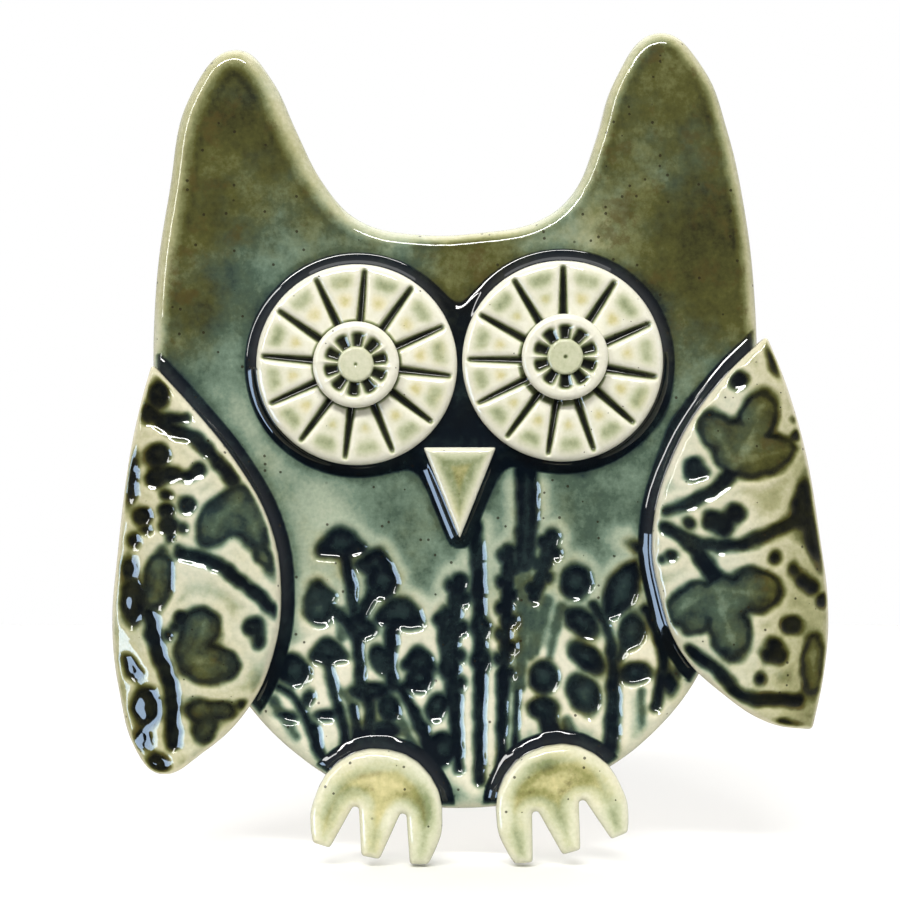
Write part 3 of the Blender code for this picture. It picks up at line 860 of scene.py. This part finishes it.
RIGHT_WING_PLANTS = [
    (oval, 62.6, -6.4, 6.6, 3, -20),
    (oval, 55.6, -10.4, 4.2, 3.6, 20),
    (cluster, 46.8, -28.2, (0, 1.1, 3, 3.2, 0), (-1.2, -0.4, 3, 3, 0), (1.2, -0.6, 3, 3.2, 0)),
    (stroke, [(41.2, -36.4), (46.6, -34.4), (51.4, -31.4), (54.6, -28)], 2.4, 3.4),
    (berry, 45.7, -38.9, 1.4),
    (cluster, 52.4, -38.2, (-2.4, 0, 4.2, 4.2, 0), (2.6, 1.4, 4.2, 4.4, 0), (0.2, -1.4, 4.4, 4, 0)),
    (stroke, [(40.8, -39.6), (48, -42.8), (57, -42.8), (68.4, -37.8)], 2.4, 3.2),
    (stroke, [(43.4, -41), (47.4, -44.8), (50.6, -49.4)], 2.8, 4),
    (cluster, 69.6, -38.6, (-1.2, 3.4, 11.6, 4.4, 8), (1.6, -3.6, 13, 4.6, -20)),
    (berry, 66.9, -18.2, 0.75),
    (berry, 67.3, -21.3, 1.1),
    (berry, 42.2, -45.3, 1.35),
    (berry, 40.3, -46.1, 0.75),
    (berry, 62.8, -45.8, 1.45),
    (cluster, 68.6, -49.8, (-1.6, 1.6, 3.2, 3, 0), (0.2, -0.6, 3.2, 3, 0), (2.2, -2.2, 3, 3, 0)),
    (berry, 73.2, -54.6, 1.6),
    (oval, 66.6, -59.4, 4.2, 5, 20),
    (cluster, 62.6, -64.4, (0, 1.2, 3.4, 3.8, 0), (-1.2, -0.8, 3.2, 3, 0), (1.4, -0.6, 3.4, 3.2, 0)),
    (berry, 60.1, -70.1, 1.4),
    (stroke, [(45.6, -64), (51.6, -68.4), (56.6, -73.4), (68, -74.6)], 2.6, 3),
    (oval, 65.2, -79.4, 2.8, 5.6, 8),
]
RIGHT_WING_LEAVES = [
    (oval, 59.4, -18.2, 13.6, 8.4, 14),
    (oval, 51.2, -20.8, 10.6, 7.2, -30),
    (leaf, [(51, -26.8), (67.8, -23.8)], 9.6),
    (oval, 55.4, -23.4, 11.6, 11, 0),
    (oval, 58.8, -52.2, 9.4, 11.8, 10),
    (cluster, 46.4, -55.4, (0.8, 0.8, 8.6, 10.4, -24), (-2.8, -0.8, 6.6, 5.4, 0), (0.4, -2.8, 6.2, 6.4, 0)),
    (oval, 53.7, -59.6, 14.6, 8.8, -10),
    (oval, 52.6, -54.2, 10.4, 12, 0),
    (oval, 71.2, -67.4, 14, 6, 0),
]

# the leaves' veins stand up in the print, so the glaze is thinner on them
LEFT_WING_VEINS = [
    (stroke, [(-44.2, -35), (-47.4, -37), (-49.4, -41)], 0.9, 0.6),
    (stroke, [(-44.2, -35), (-41.4, -39), (-40, -43)], 0.9, 0.6),
    (stroke, [(-60.6, -45.6), (-60.2, -50), (-61, -55)], 1, 0.7),
    (stroke, [(-54, -66), (-51.6, -61.6), (-50.4, -57.6)], 1, 0.7),
    (stroke, [(-54, -66), (-50.2, -66.2), (-46.6, -67.6)], 1, 0.7),
    (stroke, [(-62.6, -79), (-62.6, -73.4)], 1, 0.7),
]
RIGHT_WING_VEINS = [
    (stroke, [(54.4, -28), (57.8, -22.4), (60.2, -15.6)], 1.1, 0.6),
    (stroke, [(54.4, -27), (52.2, -22.4), (49.6, -18.4)], 1.1, 0.6),
    (stroke, [(55, -26.4), (60, -25.6), (65.2, -24.4)], 1.1, 0.6),
    (stroke, [(50.8, -51.4), (56.4, -52.6), (62.4, -53.2)], 1.1, 0.6),
    (stroke, [(50.4, -51.6), (46.6, -54.4), (43.6, -56.2)], 1.1, 0.6),
    (stroke, [(51.4, -52.2), (53.2, -58.6), (54.6, -64)], 1.1, 0.6),
    (stroke, [(71, -62.6), (71.4, -72)], 1.2, 0.9),
]


def bent_back(loop):
    """The depth of a bent slab's back at any place, from a smooth cubic through its CAD back edge."""

    def terms(places):
        x, z = places.T / 50
        return np.stack([x ** i * z ** j for i in range(4) for j in range(4 - i)], axis=1)

    fit = np.linalg.lstsq(terms(loop[:, [0, 2]]), loop[:, 1], rcond=None)[0]
    return lambda places: terms(places) @ fit


def thickness_of(node):
    """The slab's depth from front to back, measured through the middle of its box."""
    shape = cad_shape(node)
    tree = BVHTree.FromBMesh(shape)
    shape.free()
    centre = (Vector(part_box(node)[0]) + Vector(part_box(node)[1])) / 2
    rear = tree.ray_cast((centre.x, 1.0, centre.z), (0, -1, 0))[0]
    front = tree.ray_cast((centre.x, -1.0, centre.z), (0, 1, 0))[0]
    return (rear.y - front.y) / MM


def wing_surface(plants, leaves, veins):
    """A wing's front: deep prints in a thin glaze, with a paler heart to each leaf."""

    def surface(places, inset):
        outer = ease(np.abs(places[:, 0]), 56, 72) * np.where(places[:, 0] < 0, 0.6, 1.0)
        low = ease(-places[:, 1], 50, 84)
        far_glaze = 0.27 + 0.13 * unevenness(places, 8, 6) + 0.20 * outer + 0.08 * low
        print_edge = print_of(places, plants + leaves, 0.26) + 0.10 * unevenness(places, 1.4, 15)
        rise, pool = glazed_print(print_edge, 0.48, 0.09 + 0.15 * outer + 0.06 * low, far_glaze, 0.97, 0.90)
        rise += 0.02 * unevenness(places, 1.5, 12) * ease(-print_edge, -2.0, 0.2)
        heart = ease(-print_of(places, leaves, 0.4), 0.35, 1.7)
        thinner = np.where(places[:, 0] < 0, 0.26, 0.31) + 0.07 * unevenness(places, 4, 17)
        pool -= thinner * heart
        pool -= 0.10 * ease(-print_of(places, veins, 0.4), -0.7, 0.5) * heart
        pool = 0.02 + (pool - 0.02) * ease(inset, 0.1, 1.2)
        return rise * ease(inset, 0.1, 1.3) + 0.12 * unevenness(places, 9, 4), pool

    return surface


def wing_warmth(places):
    """The glaze is teal near the body and burnt to a brown olive along the outer edge and the tips."""
    x, z = places.T
    outer = ease(np.abs(x), 50, 70)
    return 0.32 + 0.75 * outer + 0.40 * ease(-z, 60, 84) + 0.30 * ease(z, -26, -8)


wing_glaze = glaze("wing_celadon", 0.0, TEAL, OLIVE)
for node, *marks in (
    ("left_wing", LEFT_WING_PLANTS, LEFT_WING_LEAVES, LEFT_WING_VEINS),
    ("right_wing", RIGHT_WING_PLANTS, RIGHT_WING_LEAVES, RIGHT_WING_VEINS),
):
    rim, loop = rim_of(node, 0.4, 0.7)
    mesh = slab(
        node + "_clay", rim, bent_back(loop), thickness_of(node), 1.9, 0.36,
        wing_surface(*marks), wing_warmth,
    )
    mesh.materials.append(wing_glaze)
    wing = in_scene(node + "_clay", mesh)
    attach(wing, "root")
    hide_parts(node)


# Eyes and pupils: round slabs from two cutters. Rays are pressed into each eye with a straight edge,
# and each pupil carries the print of one small stamp, ten marks round a low dome with a dimple.

def pressed_disc_tree():
    """A round slab as rings and spokes, with a ring of straight marks pressed into its front."""
    tree = bpy.data.node_groups.new("pressed_disc", "GeometryNodeTree")
    sizes = (
        "Radius", "Thickness", "Edge", "Seat", "Turn", "Mark Start", "Mark End", "Mark Width",
        "Mark End Width", "Mark Depth", "Wander", "Wander Turn", "Dome Radius", "Dome Height",
        "Across", "Back", "Up",
    )
    for label in sizes:
        tree.interface.new_socket(label, in_out="INPUT", socket_type="NodeSocketFloat")
    for label in ("Marks", "Spokes", "Rings"):
        tree.interface.new_socket(label, in_out="INPUT", socket_type="NodeSocketInt")
    tree.interface.new_socket("Glaze", in_out="INPUT", socket_type="NodeSocketMaterial")
    tree.interface.new_socket("Disc", in_out="OUTPUT", socket_type="NodeSocketGeometry")
    given = tree.nodes.new("NodeGroupInput").outputs
    result = tree.nodes.new("NodeGroupOutput")
    node, maths, plus, minus, times, turned = node_tools(tree)
    columns = plus(given["Spokes"], 1.0)
    sheet = node(
        "GeometryNodeMeshGrid",
        {"Size X": 1.0, "Size Y": 1.0, "Vertices X": columns, "Vertices Y": given["Rings"]},
    )
    place = node("ShaderNodeSeparateXYZ", {0: node("GeometryNodeInputPosition").outputs[0]}).outputs
    angle = times(plus(place["X"], 0.5), tau)
    along = plus(place["Y"], 0.5)

    # the sheet's rows: across the front as far as the rim, down the wall to its foot, and back across
    # the rear
    rim_at, foot_at = 0.86, 0.93
    front_share = turned(along, 0.0, rim_at, shape="LINEAR")
    rear_share = turned(along, foot_at, 1.0, shape="LINEAR")
    spread = minus(maths("SINE", times(front_share, pi / 2)), rear_share)
    reach = times(given["Radius"], spread)
    inset = times(minus(given["Radius"], reach), turned(along, rim_at - 1e-5, rim_at, 1.0, 0.0, "LINEAR"))
    short = maths("MAXIMUM", minus(given["Edge"], inset), 0.0)
    arc = minus(times(given["Edge"], given["Edge"]), times(short, short))
    rounding = minus(given["Edge"], maths("SQRT", maths("MAXIMUM", arc, 0.0)))

    # the marks
    wander = times(maths("COSINE", plus(angle, given["Wander Turn"])), given["Wander"])
    turns = maths("DIVIDE", plus(minus(angle, given["Turn"]), wander), tau)
    fold = minus(maths("FRACT", plus(times(turns, given["Marks"]), 0.5)), 0.5)
    off_mark = maths("DIVIDE", times(fold, tau), given["Marks"])
    beside = times(maths("ABSOLUTE", maths("SINE", off_mark)), reach)
    half = times(
        turned(reach, given["Mark Start"], given["Mark End"], given["Mark Width"],
               given["Mark End Width"], "LINEAR"),
        0.5,
    )
    bite = turned(beside, times(half, 1.75), times(half, 0.15))
    begun = turned(reach, minus(given["Mark Start"], 0.35 * MM), given["Mark Start"])
    ended = turned(reach, given["Mark End"], minus(given["Mark End"], times(given["Mark Depth"], 1.3)))
    mark = times(bite, begun, ended)

    # the low dome in a pupil's middle, with its dimple
    dome = turned(reach, given["Dome Radius"], minus(given["Dome Radius"], 0.7 * MM))
    dimple = times(turned(reach, 0.55 * MM, 0.1 * MM), turned(given["Dome Radius"], 0.0, 1.0 * MM))
    dome_rise = times(minus(dome, times(dimple, 0.5)), given["Dome Height"])

    # each field between two marks swells a little, and holds two soft pools of glaze
    field = times(
        turned(beside, times(half, 0.9), plus(half, 1.3 * MM)),
        turned(inset, 0.6 * MM, 2.6 * MM),
        turned(reach, plus(given["Seat"], 0.3 * MM), plus(given["Seat"], 2.6 * MM)),
    )
    span = minus(given["Radius"], given["Seat"])
    patches = []
    for share, wide in ((0.70, 2.9), (0.36, 2.4)):
        off = maths("ABSOLUTE", minus(reach, plus(given["Seat"], times(span, share))))
        patches.append(times(
            turned(off, wide * MM, 0.0), turned(beside, plus(half, 0.3 * MM), plus(half, 2.7 * MM)),
            turned(given["Seat"], 0.0, 1.0 * MM),
        ))
    outer_patch, inner_patch = patches
    on_front = turned(along, rim_at - 0.005, rim_at, 1.0, 0.0)
    front = plus(
        minus(rounding, given["Thickness"]),
        times(mark, given["Mark Depth"]),
        times(dome_rise, -1.0),
        times(field, -0.33 * MM),
    )
    wall = turned(along, rim_at, foot_at, 0.0, 1.0, "LINEAR")
    rim_depth = minus(given["Edge"], given["Thickness"])
    below = times(rim_depth, minus(1.0, wall))
    in_front = turned(along, rim_at, rim_at + 1e-5, 1.0, 0.0, "LINEAR")
    depth_here = plus(times(front, in_front), times(below, minus(1.0, in_front)))

    seat_line = times(
        turned(reach, plus(given["Seat"], 0.75 * MM), plus(given["Seat"], 0.1 * MM)),
        turned(given["Seat"], 0.0, 1.0 * MM), 0.62,
    )
    last = times(minus(given["Mark End"], given["Mark Start"]), 0.32)
    faded = turned(reach, minus(given["Mark End"], last), given["Mark End"], 0.97, 0.70)
    dark_mark = times(turned(beside, times(half, 1.5), times(half, 0.25)), begun, ended, faded)
    glaze_depth = maths("MAXIMUM", maths("MAXIMUM", dark_mark, seat_line),
                        plus(times(outer_patch, 0.29), times(inner_patch, 0.20), 0.03))
    dimple_glaze = times(dimple, 0.45)
    dome_ring = times(
        turned(reach, plus(given["Dome Radius"], 0.25 * MM), plus(given["Dome Radius"], -0.25 * MM)),
        turned(given["Dome Radius"], 0.0, 1.0 * MM), 0.20,
    )
    glaze_depth = maths("MAXIMUM", glaze_depth, plus(dimple_glaze, dome_ring))
    glaze_depth = times(glaze_depth, on_front)

    def stored(geometry, name, value):
        inputs = {"Geometry": geometry, "Name": name, "Value": value}
        return node("GeometryNodeStoreNamedAttribute", inputs, data_type="FLOAT", domain="POINT").outputs[0]

    spot = node("ShaderNodeCombineXYZ", {
        "X": plus(given["Across"], times(reach, maths("SINE", angle))),
        "Y": plus(given["Back"], depth_here),
        "Z": plus(given["Up"], times(reach, maths("COSINE", angle))),
    })
    shape = stored(stored(sheet.outputs["Mesh"], "pool", glaze_depth), "warm", inner_patch)
    shape = node("GeometryNodeSetPosition", {"Geometry": shape, "Position": spot.outputs[0]}).outputs[0]
    shape = node("GeometryNodeMergeByDistance", {"Geometry": shape, "Distance": 0.004 * MM}).outputs[0]
    shape = node("GeometryNodeSetShadeSmooth", {0: shape}).outputs[0]
    shape = node("GeometryNodeRealizeInstances", {0: shape}).outputs[0]
    shape = node("GeometryNodeSetMaterial", {"Geometry": shape, "Material": given["Glaze"]}).outputs[0]
    tree.links.new(shape, result.inputs[0])
    return tree


def grown(name, tree, **inputs):
    """The tree's result with those inputs, as an object with a plain mesh."""
    seed = in_scene(name + "_seed", bpy.data.meshes.new(name + "_seed"))
    modifier = seed.modifiers.new("grow", "NODES")
    modifier.node_group = tree
    for socket in tree.interface.items_tree:
        if socket.in_out == "INPUT":
            modifier[socket.identifier] = inputs[socket.name.lower().replace(" ", "_")]
    bpy.context.view_layer.update()
    mesh = bpy.data.meshes.new_from_object(seed.evaluated_get(bpy.context.evaluated_depsgraph_get()))
    bpy.data.objects.remove(seed)
    mesh.name = name
    shape = bmesh.new()
    shape.from_mesh(mesh)
    bmesh.ops.recalc_face_normals(shape, faces=shape.faces)
    shape.to_mesh(mesh)
    shape.free()
    return in_scene(name, mesh)


CREAM_TEAL = [
    (0.00, (0.80, 0.785, 0.67)), (0.10, (0.70, 0.69, 0.54)), (0.22, (0.52, 0.54, 0.36)),
    (0.40, (0.23, 0.27, 0.135)), (0.60, (0.080, 0.092, 0.040)), (0.80, (0.022, 0.024, 0.013)),
    (1.00, (0.006, 0.007, 0.006)),
]
CREAM_OLIVE = [
    (0.00, (0.80, 0.78, 0.66)), (0.10, (0.76, 0.71, 0.50)), (0.22, (0.60, 0.55, 0.28)),
    (0.40, (0.26, 0.26, 0.095)), (0.60, (0.080, 0.082, 0.030)), (0.80, (0.022, 0.023, 0.011)),
    (1.00, (0.006, 0.007, 0.005)),
]
eye_glaze = glaze("eye_cream", 0.0, CREAM_TEAL, CREAM_OLIVE)
disc_tree = pressed_disc_tree()
for side, ray_turn, wander, stamp_turn in (("left", 6, 1.5, 5), ("right", 5, 6.3, 0)):
    eye_low, eye_high = (Vector(corner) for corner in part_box(side + "_eye_disc"))
    pupil_low, pupil_high = (Vector(corner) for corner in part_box(side + "_pupil_button"))
    eye_radius = (eye_high.x - eye_low.x) / 2
    pupil_radius = (pupil_high.x - pupil_low.x) / 2
    eye = grown(
        side + "_eye_clay", disc_tree, radius=eye_radius, thickness=eye_high.y - eye_low.y,
        edge=1.5 * MM, seat=pupil_radius, turn=radians(ray_turn), marks=12,
        mark_start=pupil_radius - 0.6 * MM, mark_end=eye_radius - 0.5 * MM, mark_width=1.75 * MM,
        mark_end_width=1.0 * MM, mark_depth=0.95 * MM, dome_radius=0.0, dome_height=0.0,
        wander=radians(wander), wander_turn=radians(40),
        across=(eye_low.x + eye_high.x) / 2, back=eye_high.y, up=(eye_low.z + eye_high.z) / 2,
        spokes=480, rings=96, glaze=eye_glaze,
    )
    pupil = grown(
        side + "_pupil_clay", disc_tree, radius=pupil_radius, thickness=pupil_high.y - pupil_low.y,
        edge=1.25 * MM, seat=0.0, turn=radians(stamp_turn), marks=10, mark_start=3.75 * MM,
        mark_end=6.95 * MM, mark_width=2.1 * MM, mark_end_width=2.9 * MM, mark_depth=0.95 * MM,
        wander=0.0, wander_turn=0.0, dome_radius=3.7 * MM, dome_height=0.3 * MM,
        across=(pupil_low.x + pupil_high.x) / 2, back=pupil_high.y, up=(pupil_low.z + pupil_high.z) / 2,
        spokes=300, rings=80, glaze=eye_glaze,
    )
    for piece, node in ((eye, "_eye_disc"), (pupil, "_pupil_button")):
        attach(piece, "root")
        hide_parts(side + node)


# Beak and feet: small cut slabs, worn soft by the sponge, so the glaze is thin right round them and
# only gathers in the middle. The toes hang below the body.

def pillow_surface(edge_glaze, middle_glaze, reach):
    """A small piece's front: a soft swell, with the glaze thicker towards the middle."""

    def surface(places, inset):
        pool = edge_glaze + (middle_glaze - edge_glaze) * ease(inset, 0.1, reach)
        pool += 0.09 * unevenness(places, 7, 2) * ease(inset, 0.5, 2.5) - 0.10 * ease(inset, 4.0, 6.0)
        return 0.22 * ease(inset, 0.4, reach) - 0.1, pool

    return surface


def heart_warmth(rim, start, end):
    """Yellow in the middle of a small piece and green nearer its edge."""
    return lambda places: ease(inset_of(places, rim) + 0.8 * unevenness(places, 7, 9), start, end)


beak_rim, _ = rim_of("beak", 0.25, 0.35)
beak_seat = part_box("beak")[1][1] / MM
beak_mesh = slab(
    "beak_clay", beak_rim, lambda places: np.full(len(places), beak_seat), thickness_of("beak"), 1.2,
    0.30, pillow_surface(0.05, 0.45, 3.0), heart_warmth(beak_rim, 2.8, 4.6),
)
beak_mesh.materials.append(glaze("beak_green", 0.1, CREAM_TEAL, CREAM_OLIVE))
beak = in_scene("beak_clay", beak_mesh)
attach(beak, "root")
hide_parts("beak")

foot_glaze = glaze("foot_green", 0.15, CREAM_TEAL, CREAM_OLIVE)
for node in ("left_foot", "right_foot"):
    rim, loop = rim_of(node, 0.3, 0.4)
    mesh = slab(
        node + "_clay", rim, bent_back(loop), thickness_of(node), 1.7, 0.32,
        pillow_surface(0.12, 0.36, 4.4), heart_warmth(rim, 2.8, 5.4),
    )
    mesh.materials.append(foot_glaze)
    foot = in_scene(node + "_clay", mesh)
    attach(foot, "root")
    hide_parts(node)


# Hanging wire: a short length of heat-proof wire, bedded in the wet clay at both ends and dulled by the
# firing. It is as the CAD has it, with the dull, mottled skin that the kiln leaves.

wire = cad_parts["hanging_wire"]
scale = bpy.data.materials.new("fired_wire")
scale.use_nodes = True
skin = scale.node_tree
metal = skin.nodes["Principled BSDF"].inputs
metal["Metallic"].default_value = 1.0
metal["Roughness"].default_value = 0.5
spot = add_node(skin, "ShaderNodeTexCoord").outputs["Object"]
mottle = add_node(skin, "ShaderNodeTexNoise", {"Vector": spot, "Scale": 900, "Detail": 5}).outputs["Fac"]
tint = add_node(skin, "ShaderNodeValToRGB", {0: mottle})
tint.color_ramp.elements[0].color = (0.12, 0.10, 0.085, 1)
tint.color_ramp.elements[1].color = (0.45, 0.42, 0.38, 1)
skin.links.new(tint.outputs[0], metal["Base Color"])
wire.data.materials.clear()
wire.data.materials.append(scale)
